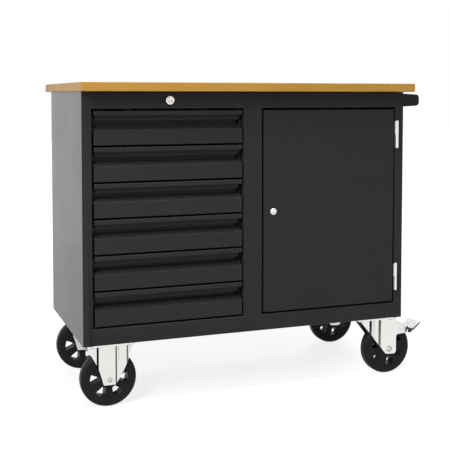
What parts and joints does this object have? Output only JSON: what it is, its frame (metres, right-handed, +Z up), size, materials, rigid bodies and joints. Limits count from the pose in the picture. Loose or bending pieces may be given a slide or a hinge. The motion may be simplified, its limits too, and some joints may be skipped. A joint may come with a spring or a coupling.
{
  "type": "tool cart",
  "caption": "Mobile steel workbench with a wooden worktop, drawers on the left, a hinged door on the right, a push handle and braked swivel casters.",
  "frame": {"origin": "middle of the bounding box, on the floor that the wheels stand on", "axes": "+Z up, front faces -Y, push handle on +X"},
  "size_m": [1.096, 0.59, 0.9119],
  "materials": {
    "cabinet_paint": "black powder coat, fine texture, semi-gloss",
    "worktop_wood": "honey-coloured laminated board, satin varnish",
    "zinc_plate": "bright zinc plating on pressed steel",
    "lock_nickel": "nickel-plated die-cast lock",
    "wheel_rubber": "black solid rubber and black moulded core",
    "handle_plastic": "black moulded plastic"
  },
  "bodies": {
    "cabinet": {"side_panel_left": "cabinet_paint", "side_panel_right": "cabinet_paint", "top_rail": "cabinet_paint", "bottom_rail": "cabinet_paint", "top_panel": "cabinet_paint", "floor_panel": "cabinet_paint", "back_panel": "cabinet_paint", "divider": "cabinet_paint", "cupboard_shelf": "cabinet_paint", "base_channel_left": "cabinet_paint", "base_channel_right": "cabinet_paint", "worktop": "worktop_wood", "runner_frame_left": "zinc_plate", "runner_frame_right": "zinc_plate", "drawer_lock_housing": "lock_nickel", "locking_bar_guide": "zinc_plate", "hinge_upper_frame_half": "zinc_plate", "hinge_upper_pin": "zinc_plate", "hinge_lower_frame_half": "zinc_plate", "hinge_lower_pin": "zinc_plate", "handle_bracket_front": "handle_plastic", "handle_bracket_back": "handle_plastic", "handle_bar": "handle_plastic", "fixed_bracket_front": "zinc_plate", "fixed_axle_front": "zinc_plate", "fixed_bracket_back": "zinc_plate", "fixed_axle_back": "zinc_plate", "swivel_plate_front": "zinc_plate", "swivel_plate_back": "zinc_plate"},
    "drawer_1": {"drawer_front_1": "cabinet_paint", "drawer_tray_1": "cabinet_paint"},
    "drawer_2": {"drawer_front_2": "cabinet_paint", "drawer_tray_2": "cabinet_paint"},
    "drawer_3": {"drawer_front_3": "cabinet_paint", "drawer_tray_3": "cabinet_paint"},
    "drawer_4": {"drawer_front_4": "cabinet_paint", "drawer_tray_4": "cabinet_paint"},
    "drawer_5": {"drawer_front_5": "cabinet_paint", "drawer_tray_5": "cabinet_paint"},
    "drawer_6": {"drawer_front_6": "cabinet_paint", "drawer_tray_6": "cabinet_paint"},
    "door": {"door": "cabinet_paint", "door_lock_housing": "lock_nickel", "hinge_upper_door_half": "zinc_plate", "hinge_lower_door_half": "zinc_plate"},
    "door_lock": {"door_lock_plug": "lock_nickel"},
    "drawer_lock": {"drawer_lock_plug": "lock_nickel"},
    "locking_bar": {"locking_bar": "zinc_plate"},
    "fixed_wheel_front": {"fixed_wheel_front": "wheel_rubber"},
    "swivel_front": {"swivel_fork_front": "zinc_plate", "swivel_axle_front": "zinc_plate"},
    "swivel_wheel_front": {"swivel_wheel_front": "wheel_rubber"},
    "brake_front": {"brake_pedal_front": "zinc_plate"},
    "fixed_wheel_back": {"fixed_wheel_back": "wheel_rubber"},
    "swivel_back": {"swivel_fork_back": "zinc_plate", "swivel_axle_back": "zinc_plate"},
    "swivel_wheel_back": {"swivel_wheel_back": "wheel_rubber"},
    "brake_back": {"brake_pedal_back": "zinc_plate"}
  },
  "joints": [
    {"name": "drawer_1_slide", "type": "slide", "parent": "cabinet", "child": "drawer_1", "axis": [0, -1, 0], "range_m": [0, 0.38]},
    {"name": "drawer_2_slide", "type": "slide", "parent": "cabinet", "child": "drawer_2", "axis": [0, -1, 0], "range_m": [0, 0.38]},
    {"name": "drawer_3_slide", "type": "slide", "parent": "cabinet", "child": "drawer_3", "axis": [0, -1, 0], "range_m": [0, 0.38]},
    {"name": "drawer_4_slide", "type": "slide", "parent": "cabinet", "child": "drawer_4", "axis": [0, -1, 0], "range_m": [0, 0.38]},
    {"name": "drawer_5_slide", "type": "slide", "parent": "cabinet", "child": "drawer_5", "axis": [0, -1, 0], "range_m": [0, 0.38]},
    {"name": "drawer_6_slide", "type": "slide", "parent": "cabinet", "child": "drawer_6", "axis": [0, -1, 0], "range_m": [0, 0.38]},
    {"name": "door_swing", "type": "hinge", "parent": "cabinet", "child": "door", "pos_m": [0.4365, -0.2503, 0.5366], "axis": [0, 0, 1], "range_deg": [0, 170]},
    {"name": "door_lock_turn", "type": "hinge", "parent": "door", "child": "door_lock", "pos_m": [0.026, -0.245, 0.5366], "axis": [0, 1, 0], "range_deg": [0, 90]},
    {"name": "drawer_lock_turn", "type": "hinge", "parent": "cabinet", "child": "drawer_lock", "pos_m": [-0.2885, -0.245, 0.86285], "axis": [0, 1, 0], "range_deg": [0, 90.1]},
    {"name": "locking_bar_lift", "type": "slide", "parent": "cabinet", "child": "locking_bar", "axis": [0, 0, 1], "range_m": [0, 0.006]},
    {"name": "fixed_wheel_front_spin", "type": "hinge", "parent": "cabinet", "child": "fixed_wheel_front", "pos_m": [-0.458, -0.188, 0.08], "axis": [0, 1, 0], "continuous": true},
    {"name": "swivel_front_turn", "type": "hinge", "parent": "cabinet", "child": "swivel_front", "pos_m": [0.382, -0.188, 0.175], "axis": [0, 0, 1], "continuous": true},
    {"name": "swivel_wheel_front_spin", "type": "hinge", "parent": "swivel_front", "child": "swivel_wheel_front", "pos_m": [0.436, -0.188, 0.08], "axis": [0, 1, 0], "continuous": true},
    {"name": "brake_front_press", "type": "hinge", "parent": "swivel_front", "child": "brake_front", "pos_m": [0.494, -0.188, 0.14448], "axis": [0, 1, 0], "range_deg": [0, 10]},
    {"name": "fixed_wheel_back_spin", "type": "hinge", "parent": "cabinet", "child": "fixed_wheel_back", "pos_m": [-0.458, 0.188, 0.08], "axis": [0, 1, 0], "continuous": true},
    {"name": "swivel_back_turn", "type": "hinge", "parent": "cabinet", "child": "swivel_back", "pos_m": [0.382, 0.188, 0.175], "axis": [0, 0, 1], "continuous": true},
    {"name": "swivel_wheel_back_spin", "type": "hinge", "parent": "swivel_back", "child": "swivel_wheel_back", "pos_m": [0.436, 0.188, 0.08], "axis": [0, 1, 0], "continuous": true},
    {"name": "brake_back_press", "type": "hinge", "parent": "swivel_back", "child": "brake_back", "pos_m": [0.494, 0.188, 0.14448], "axis": [0, 1, 0], "range_deg": [0, 10]}
  ],
  "couplings": [
    {"joint": "drawer_lock_turn", "follows": "locking_bar_lift", "rad_per_m": 261.8}
  ]
}
